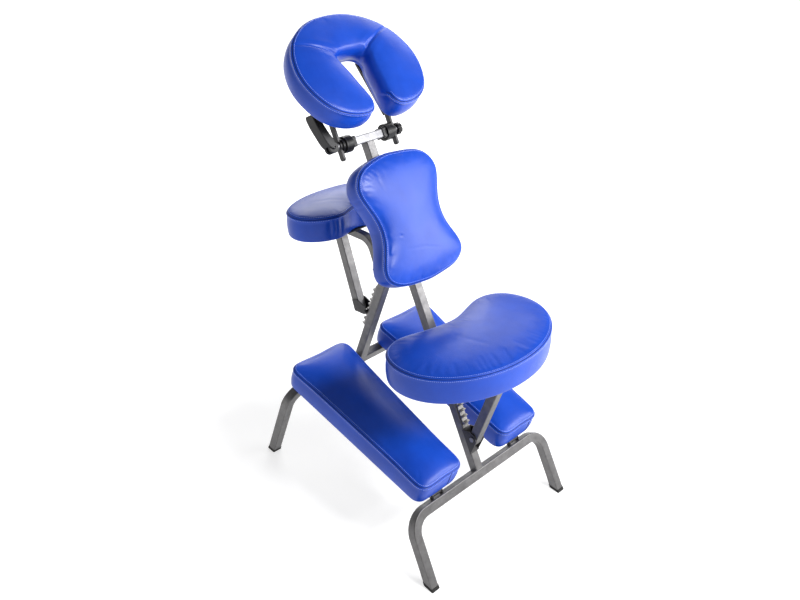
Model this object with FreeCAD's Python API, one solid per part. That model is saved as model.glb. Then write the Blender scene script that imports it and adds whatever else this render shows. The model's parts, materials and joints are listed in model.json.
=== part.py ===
import FreeCAD, Part
import math
import os

# Kneeling massage chair. Millimetres. +Z up, +Y the way the sitter faces, +X the sitter's right.
# The origin is on the floor, under the middle of the whole chair.

V = FreeCAD.Vector

# ---------------------------------------------------------------- driving dimensions
TUBE = 25.0              # square frame tube, outside
WALL = 1.5               # tube wall
EDGE = 2.5               # outside corner radius of the frame tube
ARM_TUBE = 20.0          # square tube of the arm rest's curved arm

MAST_LEAN = 55.7         # mast above the floor, leaning to the front, degrees
STRUT_LEAN = 77.0        # front strut above the floor, leaning to the rear
BASE_MIDDLE_Y = -62.575   # middle of the two cross bars, behind the origin
BASE_HALF = 233.0        # half the distance between the two cross bars
REAR_BAR_Z = 147.0       # height of the rear cross bar's axis
FRONT_BAR_Z = 237.0      # height of the front cross bar's axis
BAR_HALF = 251.0         # half the width between the leg bends
LEG_SPLAY = 1.6          # outward splay of each leg, degrees
LEG_BEND = 50.0          # bend radius at the tube's axis
MAST_TOP = 815.0         # length of the mast from the rear cross bar's axis
HEAD_BAR = 903.0         # head cross bar's axis, along the mast's line

HINGE_OFFSET = 32.0      # main hinge pin, in front of the mast's axis
PLATE = 3.0              # pressed steel brackets
SOLE = 7.0               # height of a foot cap's sole
PLUG = 16.0              # how far its plug goes up the leg
RUNNING = 0.05           # radial clearance of a pin in its bush
PIN = 4.0                # radius of the pivot pins
CATCH = 3.5              # radius of the catch bars

SEAT_CENTRE = (-120.0, 540.0)     # y from the base's middle, and z, of the seat's seam plane
SEAT_TILT = -8.0
SEAT_THICK = 68.0
SEAT_CLEVIS = (102.8, 37.0)       # seat strut's lower pin: along the mast, and behind its axis
SEAT_STRUT_TOP = (-114.0, -90.0)  # seat strut's upper pin, in the seat's frame
SEAT_CATCH = (70.0, -100.0)       # catch bar, in the seat's frame

CHEST_MIDDLE = 683.5     # chest pad's reference point along the mast
CHEST_FACE = 68.0        # seam plane behind the mast's axis
CHEST_BACK = 16.0        # back of the chest board behind the mast's axis

HEAD_CENTRE = (300.0, 1055.0)
HEAD_TILT = 33.0
HEAD_THICK = 60.0

ARM_CENTRE = (350.0, 690.0)
ARM_TILT = -8.0
ARM_THICK = 64.0
ARM_PIVOT = (326.2, -31.2)        # curved arm's pin: along the front strut, and ahead of its axis
ARM_STRUT_PIN = (14.0, -85.0)     # arm strut's upper pin, in the arm rest's frame
ARM_STRUT_LEAN = 62.5
ARM_STRUT_LONG = 232.0
ARM_CATCH = 34.0                  # catch bar behind the arm strut's axis, at its lower end

KNEE_BOTTOM = 24.0       # underside of the shin boards above the cross bars' axes
KNEE_TOP = 85.0
KNEE_REAR = 10.0
KNEE_FRONT = 496.0
KNEE_HINGE = 21.5        # shin hinge pin from the rear cross bar's axis
KNUCKLE_R = 21.0

BOARD_INSET = 8.0        # the vinyl wraps this much round the boards

# ---------------------------------------------------------------- outlines, right half, front to back
SEAT_OUTLINE = [(0, 60), (75, 73), (150, 89), (205, 68), (236, 5), (222, -70),
                (165, -132), (85, -169), (0, -180)]
CHEST_OUTLINE = [(0, 167), (64, 160), (112, 139), (129, 108), (118, 62), (102, 10),
                 (108, -40), (127, -82), (130, -112), (105, -136), (50, -148), (0, -152)]
ARM_OUTLINE = [(0, 90), (70, 83), (120, 65), (150, 42), (163, 12), (160, -20),
               (135, -52), (100, -71), (55, -74), (0, -56)]
HEAD_OUTLINE = [(0, 169), (55, 163), (105, 142), (148, 105), (172, 60), (180, 15), (172, -30),
                (148, -74), (110, -100), (70, -108), (38, -100), (29, -80), (35, -30),
                (44, 20), (50, 56), (30, 68), (0, 69)]
KNEE_CORNERS = [(60, KNEE_FRONT), (254, KNEE_FRONT), (224, KNEE_REAR), (78, KNEE_REAR)]
KNEE_CORNER_R = 26.0


# ---------------------------------------------------------------- frames: (y, z, tilt)
def base_y(y):
    return y + BASE_MIDDLE_Y


def direction(tilt):
    """Unit vector along a frame's own Y axis, as (y, z)."""
    a = math.radians(tilt)
    return math.cos(a), math.sin(a)


def in_frame(frame, along, normal):
    """World (y, z) of a point given along a frame's Y axis and its normal."""
    y, z, tilt = frame
    c, s = direction(tilt)
    return y + along * c - normal * s, z + along * s + normal * c


def place(shape, frame):
    y, z, tilt = frame
    moved = shape.copy()
    rotation = FreeCAD.Rotation(V(1, 0, 0), tilt)
    moved.Placement = FreeCAD.Placement(V(0, y, z), rotation).multiply(moved.Placement)
    return moved


MAST = (base_y(-BASE_HALF), REAR_BAR_Z, MAST_LEAN)
STRUT = (base_y(BASE_HALF), FRONT_BAR_Z, 180.0 - STRUT_LEAN)
KNEE_RISE = math.degrees(math.atan2(FRONT_BAR_Z - REAR_BAR_Z, 2 * BASE_HALF))
KNEE = (base_y(-BASE_HALF), REAR_BAR_Z, KNEE_RISE)
SEAT = (base_y(SEAT_CENTRE[0]), SEAT_CENTRE[1], SEAT_TILT)
ARM = (base_y(ARM_CENTRE[0]), ARM_CENTRE[1], ARM_TILT)
HEAD = (base_y(HEAD_CENTRE[0]), HEAD_CENTRE[1], HEAD_TILT)


def main_hinge_point():
    """The pin's place (y, z): on the front strut's axis, HINGE_OFFSET in front of the mast."""
    y, z, tilt = STRUT
    dy, dz = direction(tilt)
    my, mz = direction(MAST_LEAN)
    start = -(y - MAST[0]) * mz + (z - MAST[1]) * my
    slope = -dy * mz + dz * my
    reach = (-HINGE_OFFSET - start) / slope
    return y + reach * dy, z + reach * dz, reach


HINGE_Y, HINGE_Z, HINGE_ALONG_STRUT = main_hinge_point()
HINGE_ALONG_MAST = ((HINGE_Y - MAST[0]) * direction(MAST_LEAN)[0]
                    + (HINGE_Z - MAST[1]) * direction(MAST_LEAN)[1])
CLEVIS_YZ = in_frame(MAST, *SEAT_CLEVIS)
SEAT_TOP_YZ = in_frame(SEAT, *SEAT_STRUT_TOP)
SEAT_CATCH_YZ = in_frame(SEAT, *SEAT_CATCH)
ARM_PIVOT_YZ = in_frame(STRUT, *ARM_PIVOT)
ARM_PIN_YZ = in_frame(ARM, *ARM_STRUT_PIN)
HEAD_BAR_YZ = in_frame(MAST, HEAD_BAR, 0.0)
KNEE_HINGE_ALONG = KNEE_HINGE * math.cos(math.radians(45))
KNEE_HINGE_YZ = in_frame(KNEE, KNEE_HINGE_ALONG, KNEE_HINGE_ALONG)


def strut_frame(lower, upper):
    """Frame whose Y axis runs from one pin's (y, z) to the other's."""
    tilt = math.degrees(math.atan2(upper[1] - lower[1], upper[0] - lower[0]))
    return lower[0], lower[1], tilt


SEAT_STRUT = strut_frame(CLEVIS_YZ, SEAT_TOP_YZ)
SEAT_STRUT_LONG = math.hypot(SEAT_TOP_YZ[0] - CLEVIS_YZ[0], SEAT_TOP_YZ[1] - CLEVIS_YZ[1])
ARM_STRUT = (ARM_PIN_YZ[0] - ARM_STRUT_LONG * direction(ARM_STRUT_LEAN)[0],
             ARM_PIN_YZ[1] - ARM_STRUT_LONG * direction(ARM_STRUT_LEAN)[1], ARM_STRUT_LEAN)


def frame_coordinates(frame, yz):
    """Where a world (y, z) lies in a frame: along it, and along its normal."""
    c, s = direction(frame[2])
    dy = yz[0] - frame[0]
    dz = yz[1] - frame[1]
    return dy * c + dz * s, -dy * s + dz * c


# ---------------------------------------------------------------- shape helpers
def block(x0, x1, y0, y1, z0, z1):
    return Part.makeBox(x1 - x0, y1 - y0, z1 - z0, V(x0, y0, z0))


def rod(radius, x0, x1, y=0.0, z=0.0):
    """Cylinder along X."""
    return Part.makeCylinder(radius, x1 - x0, V(x0, y, z), V(1, 0, 0))


def side_plate(points, x0, x1):
    """Flat plate square to X from (y, z) points."""
    wire = Part.makePolygon([V(x0, y, z) for y, z in points + points[:1]])
    return Part.Face(wire).extrude(V(x1 - x0, 0, 0))


def fuse(shapes):
    result = shapes[0].fuse(shapes[1:])
    return result.removeSplitter()


def rounded_section(centre, u, v, half, radius):
    """Closed square wire with rounded corners, centred on a point, with its sides along u and v."""
    inner = half - radius
    bend = radius * math.sqrt(0.5)
    corners = [(1, 1), (-1, 1), (-1, -1), (1, -1)]
    edges = []
    last = None
    first = None
    for i, (a, b) in enumerate(corners):
        mid = centre + u * (a * (inner + bend)) + v * (b * (inner + bend))
        side_u = centre + u * (a * half) + v * (b * inner)
        side_v = centre + u * (a * inner) + v * (b * half)
        start, end = (side_u, side_v) if i % 2 == 0 else (side_v, side_u)
        if last is not None:
            edges.append(Part.LineSegment(last, start).toShape())
        edges.append(Part.Arc(start, mid, end).toShape())
        first = first or start
        last = end
    edges.append(Part.LineSegment(last, first).toShape())
    return Part.Wire(edges)


def rounded_path(points, radius):
    """Wire of straight runs joined by tangent arcs of one radius."""
    edges = []
    start = points[0]
    for before, corner, after in zip(points, points[1:], points[2:]):
        to_start = (before - corner).normalize()
        to_end = (after - corner).normalize()
        turn = math.pi - to_start.getAngle(to_end)
        reach = radius * math.tan(turn / 2)
        a = corner + to_start * reach
        b = corner + to_end * reach
        inward = (to_start + to_end).normalize()
        middle = corner + inward * (radius / math.cos(turn / 2) - radius)
        edges.append(Part.LineSegment(start, a).toShape())
        edges.append(Part.Arc(a, middle, b).toShape())
        start = b
    edges.append(Part.LineSegment(start, points[-1]).toShape())
    return Part.Wire(edges)


def tube_along(points, bend, size, normal, corner=EDGE):
    """Hollow square tube swept along a flat path whose plane has the given normal."""
    path = rounded_path(points, bend)
    run = (points[1] - points[0]).normalize()
    across = run.cross(normal)
    solids = []
    for half, radius in ((size / 2, corner), (size / 2 - WALL, max(corner - WALL, 0.5))):
        section = rounded_section(points[0], normal, across, half, radius)
        solids.append(path.makePipeShell([section], True, False))
    return solids[0].cut(solids[1])


def straight_tube(size, y0, y1, corner=EDGE):
    return tube_along([V(0, y0, 0), V(0, y1, 0)], 0.0, size, V(0, 0, 1), corner)


def mirrored(half):
    """Whole outline from its right half, which starts and ends on the centre line."""
    return half + [(-x, y) for x, y in reversed(half[1:-1])]


def smooth_curve(points):
    curve = Part.BSplineCurve()
    curve.interpolate(points, PeriodicFlag=True)
    return curve


def smooth_face(half, inset=0.0):
    """Face inside a smooth closed outline, or inside one that lies inset from it."""
    points = [V(x, y, 0) for x, y in mirrored(half)]
    curve = smooth_curve(points)
    if inset:
        area = sum(a.x * b.y - a.y * b.x for a, b in zip(points, points[1:] + points[:1]))
        turn = 1 if area > 0 else -1
        moved = []
        for point in points:
            run = curve.tangent(curve.parameter(point))[0]
            moved.append(point + V(-run.y, run.x, 0) * (turn * inset))
        curve = smooth_curve(moved)
    return Part.Face(Part.Wire(curve.toShape()))


def knee_face(side, inset=0.0):
    """Tapered shin pad outline with round corners. side is -1 on the left and 1 on the right."""
    middle_x = sum(x for x, y in KNEE_CORNERS) / 4
    middle_y = sum(y for x, y in KNEE_CORNERS) / 4
    points = []
    for x, y in KNEE_CORNERS:
        x -= math.copysign(inset, x - middle_x)
        y -= math.copysign(inset, y - middle_y)
        points.append(V(side * x, y, 0))
    if side > 0:
        points.reverse()
    middle = (points[0] + points[-1]) * 0.5
    path = rounded_path([middle] + points + [middle], KNEE_CORNER_R - inset)
    return Part.Face(path)


def pad(face, inner_face, bottom, top, board_thick):
    """Cushion and board: the cushion's cover wraps the board's edge."""
    cushion = face.extrude(V(0, 0, top - bottom))
    cushion.translate(V(0, 0, bottom))
    board = inner_face.extrude(V(0, 0, board_thick))
    board.translate(V(0, 0, bottom))
    return cushion.cut(board), board


def smooth_pad(half, bottom, top, board_thick):
    return pad(smooth_face(half), smooth_face(half, BOARD_INSET), bottom, top, board_thick)


def screws(places, head_z, up, length=14.0):
    """Pan head screws whose heads bear on the plane head_z, pointing up (1) or down (-1)."""
    solids = []
    for x, y in places:
        shank = Part.makeCylinder(2.0, length, V(x, y, head_z), V(0, 0, up))
        head = Part.makeCylinder(4.2, 2.4, V(x, y, head_z), V(0, 0, -up))
        head = head.makeFillet(1.0, [head.Edges[0]] if up < 0 else [head.Edges[2]])
        solids.append(shank.fuse(head).removeSplitter())
    return solids


def drilled(shape, tools):
    for tool in tools:
        shape = shape.cut(tool)
    return shape


def lobed_knob(radius, thick, lobes):
    """Knob about the Z axis, standing on z = 0, with round finger hollows in its rim."""
    body = Part.makeCylinder(radius, thick)
    for i in range(lobes):
        angle = 2 * math.pi * i / lobes
        hollow = Part.makeCylinder(radius * 0.28, thick * 3,
                                   V(math.cos(angle) * radius * 1.16, math.sin(angle) * radius * 1.16, -thick))
        body = body.cut(hollow)
    return body


def rack(first, last, valley, pitch, foot, sign, half_width):
    """Saw-tooth strip on a tube's face. valley is the middle of one notch along the tube."""
    base = foot + 4.5
    peak = foot + 12.5
    points = [(first, foot), (first, base)]
    start = valley - pitch / 2 - math.floor((valley - pitch / 2 - first) / pitch) * pitch
    while start + pitch <= last + 0.01:
        points.append((start, peak))
        points.append((start + pitch * 0.22, base))
        points.append((start + pitch * 0.72, base))
        start += pitch
    points.append((last, base))
    points.append((last, foot))
    points = [(y, z * sign) for y, z in points]
    return side_plate(points, -half_width, half_width)


nodes = {}


def put(name, shape, frame=None):
    if isinstance(shape, list):
        shape = Part.makeCompound(shape)
    nodes[name] = place(shape, frame) if frame else shape


# ---------------------------------------------------------------- legs
def leg_line(drop):
    """Left leg's axis in the leg plane: from the bend's corner to a point that far below it."""
    out = drop * math.tan(math.radians(LEG_SPLAY))
    return V(-BAR_HALF, 0, 0), V(-BAR_HALF - out, -drop, 0)


def leg_frame(drop, frame):
    """Leg tube bent to a U, with its ends cut level just above the floor."""
    top, foot = leg_line(drop)
    points = [foot, top, V(-top.x, 0, 0), V(-foot.x, foot.y, 0)]
    tube = place(tube_along(points, LEG_BEND, TUBE, V(0, 0, 1)), frame)
    return tube.cut(block(-600, 600, -900, 900, -200, SOLE))


def foot_caps(drop, frame):
    """Two moulded caps: a plug up each leg, and a sole cut level with the floor."""
    top, foot = leg_line(drop)
    run = (foot - top).normalize()
    caps = []
    for side in (-1, 1):
        end = V(-side * foot.x, foot.y, 0)
        way = V(-side * run.x, run.y, 0)
        across = way.cross(V(0, 0, 1))
        sole = place(tube_solid(end - way * 60.0, end, across, TUBE / 2 + 0.8, EDGE), frame)
        sole = sole.common(block(-600, 600, -900, 900, 0, SOLE))
        plug = place(tube_solid(end - way * 60.0, end, across, TUBE / 2 - WALL - 0.1, 1.0), frame)
        plug = plug.common(block(-600, 600, -900, 900, SOLE - 1, SOLE + PLUG))
        caps.append(sole.fuse(plug).removeSplitter())
    return caps


def tube_solid(start, end, across, half, corner):
    section = rounded_section(start, V(0, 0, 1), across, half, corner)
    return Part.Face(section).extrude(end - start)


REAR_DROP = 200.0
FRONT_DROP = 260.0
put("rear_leg_tube", leg_frame(REAR_DROP, MAST))
put("rear_foot_caps", foot_caps(REAR_DROP, MAST))
put("front_leg_tube", leg_frame(FRONT_DROP, STRUT))
put("front_foot_caps", foot_caps(FRONT_DROP, STRUT))

# ---------------------------------------------------------------- mast and main hinge
LOCK_ALONG = 797.0
mast = straight_tube(TUBE, TUBE / 2, MAST_TOP)
lock_hole = Part.makeCylinder(PIN + RUNNING, 20, V(0, LOCK_ALONG, -5), V(0, 0, -1))
put("mast_tube", mast.cut(lock_hole), MAST)

HINGE_PIN = 5.0
HINGE_PLATE = 4.0
hinge_plates = []
for side in (-1, 1):
    inner = TUBE / 2
    x0, x1 = sorted((side * inner, side * (inner + HINGE_PLATE)))
    web = side_plate([(HINGE_ALONG_MAST - 24, 9), (HINGE_ALONG_MAST + 24, 9),
                      (HINGE_ALONG_MAST + 13, -HINGE_OFFSET - 5), (HINGE_ALONG_MAST - 13, -HINGE_OFFSET - 5)],
                     x0, x1)
    eye = rod(15.0, x0, x1, HINGE_ALONG_MAST, -HINGE_OFFSET)
    bore = rod(HINGE_PIN, x0 - 1, x1 + 1, HINGE_ALONG_MAST, -HINGE_OFFSET)
    hinge_plates.append(fuse([web, eye]).cut(bore))
put("main_hinge_plates", hinge_plates, MAST)


def hexagon(across_flats, x0, x1, y, z):
    reach = across_flats / math.sqrt(3)
    points = []
    for i in range(6):
        angle = math.radians(60 * i)
        points.append((y + reach * math.cos(angle), z + reach * math.sin(angle)))
    return side_plate(points, x0, x1)


bolt_reach = TUBE / 2 + HINGE_PLATE
put("main_hinge_bolt", fuse([rod(HINGE_PIN, -bolt_reach - 2, bolt_reach + 8, HINGE_ALONG_MAST, -HINGE_OFFSET),
                             hexagon(16, -bolt_reach - 6.5, -bolt_reach, HINGE_ALONG_MAST, -HINGE_OFFSET),
                             hexagon(16, bolt_reach, bolt_reach + 7, HINGE_ALONG_MAST, -HINGE_OFFSET)]), MAST)

# ---------------------------------------------------------------- head stem lock on the mast
BOSS = 9.0
boss = block(-9, 9, LOCK_ALONG - 11, LOCK_ALONG + 11, -TUBE / 2 - BOSS, -TUBE / 2)
put("stem_lock_boss", boss.cut(lock_hole), MAST)
SPIGOT = TUBE - 2 * WALL - 0.2
stud_tip = -SPIGOT / 2 - 0.15
stud = Part.makeCylinder(PIN, 18, V(0, LOCK_ALONG, stud_tip), V(0, 0, -1))
knob = lobed_knob(17.0, 20.0, 5)
knob = knob.makeFillet(2.0, [e for e in knob.Edges if e.BoundBox.ZLength < 0.01])
knob.rotate(V(0, 0, 0), V(1, 0, 0), 180)
knob.translate(V(0, LOCK_ALONG, stud_tip - 17.5))
put("stem_lock_knob", fuse([stud, knob]), MAST)

# ---------------------------------------------------------------- seat rack and clevis on the mast
catch_along = frame_coordinates(MAST, SEAT_CATCH_YZ)[0]
RACK_HALF = 9.0
put("seat_rack", rack(140.0, catch_along + 4.0, catch_along, 16.0, TUBE / 2, 1, RACK_HALF), MAST)

clevis_s, clevis_n = SEAT_CLEVIS
face = TUBE / 2
ear_inner = TUBE / 2 + 0.5
clevis = [block(-ear_inner - PLATE, ear_inner + PLATE, clevis_s - 42, clevis_s + 27, face, face + PLATE)]
for side in (-1, 1):
    x0, x1 = sorted((side * ear_inner, side * (ear_inner + PLATE)))
    clevis.append(side_plate([(clevis_s - 42, face), (clevis_s + 27, face), (clevis_s + 20, clevis_n + 2),
                              (clevis_s + 11, clevis_n + 12), (clevis_s - 8, clevis_n + 12)], x0, x1))
bore = rod(PIN, -30, 30, clevis_s, clevis_n)
put("seat_clevis", fuse(clevis).cut(bore), MAST)


def clevis_pin(reach, y, z):
    """Pin with a head at each end, outside the ears."""
    return fuse([rod(PIN, -reach, reach, y, z),
                 rod(PIN + 2.5, -reach - 2.5, -reach, y, z),
                 rod(PIN + 2.5, reach, reach + 2.5, y, z)])


put("seat_clevis_pin", clevis_pin(ear_inner + PLATE, clevis_s, clevis_n), MAST)

# ---------------------------------------------------------------- seat strut
BUSH = 6.5


def with_bushes(tube, size, pins):
    """Square tube with a bush welded across it at each pin's (y, z)."""
    for y, z in pins:
        tube = tube.fuse(rod(BUSH, -size / 2, size / 2, y, z)).cut(rod(PIN + RUNNING, -size, size, y, z))
    return tube


strut_tube = straight_tube(TUBE, -12.5, SEAT_STRUT_LONG + 12.0)
put("seat_strut_tube", with_bushes(strut_tube, TUBE, [(0.0, 0.0), (SEAT_STRUT_LONG, 0.0)]), SEAT_STRUT)

# ---------------------------------------------------------------- seat
seat_cushion, seat_board = smooth_pad(SEAT_OUTLINE, -SEAT_THICK, 0.0, 12.0)
web_top = -SEAT_THICK
web_bottom = web_top - PLATE
top_s, top_n = SEAT_STRUT_TOP
catch_s, catch_n = SEAT_CATCH
CHANNEL_REAR = top_s - 18
CHANNEL_FRONT = 52.0
channel = [block(-36, 36, CHANNEL_REAR, CHANNEL_FRONT, web_bottom, web_top)]
for side in (-1, 1):
    x0, x1 = sorted((side * ear_inner, side * (ear_inner + PLATE)))
    channel.append(side_plate([(CHANNEL_REAR, web_top), (CHANNEL_FRONT, web_top), (catch_s + 6, catch_n + 10),
                               (catch_s + 7, catch_n - 6), (catch_s - 8, catch_n - 7), (20, -88),
                               (top_s + 40, -88), (top_s + 12, top_n - 13), (top_s - 12, top_n - 13),
                               (CHANNEL_REAR, top_n - 4)], x0, x1))
channel = fuse(channel)
channel = channel.cut(rod(PIN, -40, 40, top_s, top_n)).cut(rod(CATCH, -40, 40, catch_s, catch_n))
seat_screws = screws([(x, y) for x in (-27, 27) for y in (CHANNEL_REAR + 18, 30)], web_bottom, 1, 13.0)
put("seat_cushion", seat_cushion, SEAT)
put("seat_board", drilled(seat_board, seat_screws), SEAT)
put("seat_channel", drilled(channel, seat_screws), SEAT)
put("seat_pivot_pin", clevis_pin(ear_inner + PLATE, top_s, top_n), SEAT)
put("seat_catch_bar", rod(CATCH, -ear_inner - PLATE - 2, ear_inner + PLATE + 2, catch_s, catch_n), SEAT)
put("seat_screws", seat_screws, SEAT)

# ---------------------------------------------------------------- shin pads
HINGE_ROD = 3.0
LEAF_HALF = 15.0
hinge_lugs = []
hinge_rods = []
rest_blocks = []
rear_bar = place(block(-300, 300, -TUBE / 2, TUBE / 2, -TUBE / 2, TUBE / 2), MAST)
front_bar = place(block(-300, 300, -TUBE / 2, TUBE / 2, -TUBE / 2, TUBE / 2), STRUT)
knee_front_bar = 2 * BASE_HALF / math.cos(math.radians(KNEE_RISE))
pin_at = (KNEE_HINGE_ALONG, KNEE_HINGE_ALONG)
for side, word in ((-1, "left"), (1, "right")):
    cushion, board = pad(knee_face(side), knee_face(side, BOARD_INSET), KNEE_BOTTOM, KNEE_TOP, 11.0)
    x_mid = side * 151.0
    leaf = fuse([block(x_mid - LEAF_HALF, x_mid + LEAF_HALF, pin_at[0] - 3, 92, KNEE_BOTTOM - PLATE, KNEE_BOTTOM),
                 rod(6.0, x_mid - LEAF_HALF, x_mid + LEAF_HALF, *pin_at)])
    leaf = leaf.cut(rod(HINGE_ROD + RUNNING, x_mid - 40, x_mid + 40, *pin_at))
    leaf_screws = screws([(x_mid + x, y) for x in (-9, 9) for y in (45, 80)], KNEE_BOTTOM - PLATE, 1, 12.0)
    put(word + "_shin_cushion", cushion, KNEE)
    put(word + "_shin_board", drilled(board, leaf_screws), KNEE)
    put(word + "_shin_hinge_leaf", drilled(leaf, leaf_screws), KNEE)
    put(word + "_shin_screws", leaf_screws, KNEE)
    for lug_side in (-1, 1):
        x0, x1 = sorted((x_mid + lug_side * (LEAF_HALF + 0.5), x_mid + lug_side * (LEAF_HALF + 0.5 + PLATE)))
        lug = fuse([rod(7.5, x0, x1, *pin_at), side_plate([(0, 6), (6, 0), (pin_at[0] + 5.3, pin_at[1] - 5.3),
                                                          (pin_at[0] - 5.3, pin_at[1] + 5.3)], x0, x1)])
        lug = lug.cut(rod(HINGE_ROD, x0 - 1, x1 + 1, *pin_at))
        hinge_lugs.append(place(lug, KNEE).cut(rear_bar))
    hinge_rods.append(rod(HINGE_ROD, x_mid - LEAF_HALF - 6, x_mid + LEAF_HALF + 6, *pin_at))
    rest = block(x_mid - 22, x_mid + 22, knee_front_bar - 14, knee_front_bar + 14, 0, KNEE_BOTTOM - 0.3)
    rest_blocks.append(place(rest, KNEE).cut(front_bar))
put("shin_hinge_lugs", hinge_lugs)
put("shin_hinge_rods", hinge_rods, KNEE)
put("shin_rest_blocks", rest_blocks)

# ---------------------------------------------------------------- front strut and its hinge end
strut_end = HINGE_ALONG_STRUT + 12.0
front_strut = straight_tube(TUBE, TUBE / 2, strut_end)
dressed = TUBE / 2 - 0.25
for side in (-1, 1):
    x0, x1 = sorted((side * dressed, side * (dressed + 2)))
    front_strut = front_strut.cut(block(x0, x1, HINGE_ALONG_STRUT - 34, strut_end + 1, -TUBE, TUBE))
HINGE_BUSH = 8.0
front_strut = front_strut.cut(rod(HINGE_BUSH, -20, 20, HINGE_ALONG_STRUT))
put("front_strut_tube", front_strut, STRUT)
hinge_bush = rod(HINGE_BUSH, -dressed, dressed, HINGE_ALONG_STRUT)
put("main_hinge_bush", hinge_bush.cut(rod(HINGE_PIN + RUNNING, -20, 20, HINGE_ALONG_STRUT)), STRUT)

# ---------------------------------------------------------------- arm rest rack and bracket on the front strut
ARM_CATCH_YZ = in_frame(ARM_STRUT, 0.0, ARM_CATCH)
arm_catch_along = frame_coordinates(STRUT, ARM_CATCH_YZ)[0]
put("arm_rest_rack", rack(128.0, 276.0, arm_catch_along, 18.0, TUBE / 2, -1, RACK_HALF), STRUT)

pivot_s, pivot_n = ARM_PIVOT
arm_ear = ARM_TUBE / 2 + 0.4
bracket = [block(-arm_ear - PLATE, arm_ear + PLATE, pivot_s - 26, pivot_s + 26, -face - PLATE, -face)]
for side in (-1, 1):
    x0, x1 = sorted((side * arm_ear, side * (arm_ear + PLATE)))
    bracket.append(side_plate([(pivot_s - 26, -face), (pivot_s + 26, -face), (pivot_s + 10, pivot_n - 10),
                               (pivot_s - 10, pivot_n - 10)], x0, x1))
put("arm_bracket", fuse(bracket).cut(rod(PIN, -30, 30, pivot_s, pivot_n)), STRUT)
put("arm_bracket_pin", clevis_pin(arm_ear + PLATE, pivot_s, pivot_n), STRUT)

# ---------------------------------------------------------------- arm rest
arm_cushion, arm_board = smooth_pad(ARM_OUTLINE, -ARM_THICK, 0.0, 11.0)
mount_top = -ARM_THICK
mount_bottom = mount_top - PLATE
pin_s, pin_n = ARM_STRUT_PIN
mount = [block(-42, 42, -62, 62, mount_bottom, mount_top)]
for side in (-1, 1):
    x0, x1 = sorted((side * ear_inner, side * (ear_inner + PLATE)))
    mount.append(side_plate([(pin_s - 20, mount_top), (pin_s + 20, mount_top), (pin_s + 10, pin_n - 10),
                             (pin_s - 10, pin_n - 10)], x0, x1))
mount = fuse(mount).cut(rod(PIN, -40, 40, pin_s, pin_n))
arm_screws = screws([(x, y) for x in (-33, 33) for y in (-50, 50)], mount_bottom, 1, 12.0)
put("arm_rest_cushion", arm_cushion, ARM)
put("arm_rest_board", drilled(arm_board, arm_screws), ARM)
put("arm_rest_bracket", drilled(mount, arm_screws), ARM)
put("arm_rest_pin", clevis_pin(ear_inner + PLATE, pin_s, pin_n), ARM)
put("arm_rest_screws", arm_screws, ARM)

ARM_BEND = 45.0
tube_n = mount_bottom - ARM_TUBE / 2
arm_low = ARM_PIVOT_YZ
arm_corner = in_frame(ARM, -110.0, tube_n)
arm_end = in_frame(ARM, -16.0, tube_n)
run = V(0, arm_corner[0] - arm_low[0], arm_corner[1] - arm_low[1]).normalize()
arm_start = V(0, arm_low[0], arm_low[1]) - run * 10.0
curved = tube_along([arm_start, V(0, *arm_corner), V(0, *arm_end)], ARM_BEND, ARM_TUBE, V(1, 0, 0), 2.0)
put("curved_arm_tube", with_bushes(curved, ARM_TUBE, [arm_low]))

# ---------------------------------------------------------------- arm rest strut
arm_strut = straight_tube(TUBE, 0.0, ARM_STRUT_LONG + 10.5)
put("arm_strut_tube", with_bushes(arm_strut, TUBE, [(ARM_STRUT_LONG, 0.0)]), ARM_STRUT)
hooks = []
for side in (-1, 1):
    x0, x1 = sorted((side * TUBE / 2, side * (TUBE / 2 + PLATE)))
    plate = side_plate([(2, -8), (34, -8), (34, 12), (9, ARM_CATCH + 6), (-7, ARM_CATCH + 6),
                        (-8, ARM_CATCH - 8)], x0, x1)
    hooks.append(plate)
hooks.append(rod(CATCH, -TUBE / 2 - PLATE - 2, TUBE / 2 + PLATE + 2, 0.0, ARM_CATCH))
put("arm_strut_catch", fuse(hooks), ARM_STRUT)

# ---------------------------------------------------------------- chest pad on its sliding sleeve
chest_half = [(x, y + CHEST_MIDDLE) for x, y in CHEST_OUTLINE]
chest_cushion, chest_board = smooth_pad(chest_half, CHEST_BACK, CHEST_FACE, 9.0)
SLEEVE_LOW = 690.0
SLEEVE_HIGH = 762.0
SLEEVE_GAP = 0.07
sleeve_outer = CHEST_BACK
hole = TUBE / 2 + SLEEVE_GAP
sleeve = fuse([block(-sleeve_outer, sleeve_outer, SLEEVE_LOW, SLEEVE_HIGH, -sleeve_outer, CHEST_BACK),
               block(-46, 46, SLEEVE_LOW, SLEEVE_HIGH, CHEST_BACK - PLATE, CHEST_BACK)])
sleeve = sleeve.cut(block(-hole, hole, SLEEVE_LOW - 1, SLEEVE_HIGH + 1, -hole, hole))
KNOB_ALONG = 726.0
stud_hole = rod(PIN + RUNNING, -30, -5, KNOB_ALONG)
sleeve = sleeve.cut(stud_hole)
chest_screws = screws([(x, y) for x in (-36, 36) for y in (SLEEVE_LOW + 12, SLEEVE_HIGH - 12)],
                      CHEST_BACK - PLATE, 1, 11.0)
put("chest_cushion", chest_cushion, MAST)
put("chest_board", drilled(chest_board, chest_screws), MAST)
put("chest_sleeve", drilled(sleeve, chest_screws), MAST)
put("chest_screws", chest_screws, MAST)
chest_knob = lobed_knob(12.0, 18.0, 5)
chest_knob = chest_knob.makeFillet(1.0, [e for e in chest_knob.Edges if e.BoundBox.ZLength < 0.01])
chest_knob.rotate(V(0, 0, 0), V(0, 1, 0), -90)
chest_knob.translate(V(-24, KNOB_ALONG, 0))
put("chest_lock_knob", fuse([chest_knob, rod(PIN, -25, -TUBE / 2 - 0.15, KNOB_ALONG)]), MAST)

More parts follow.
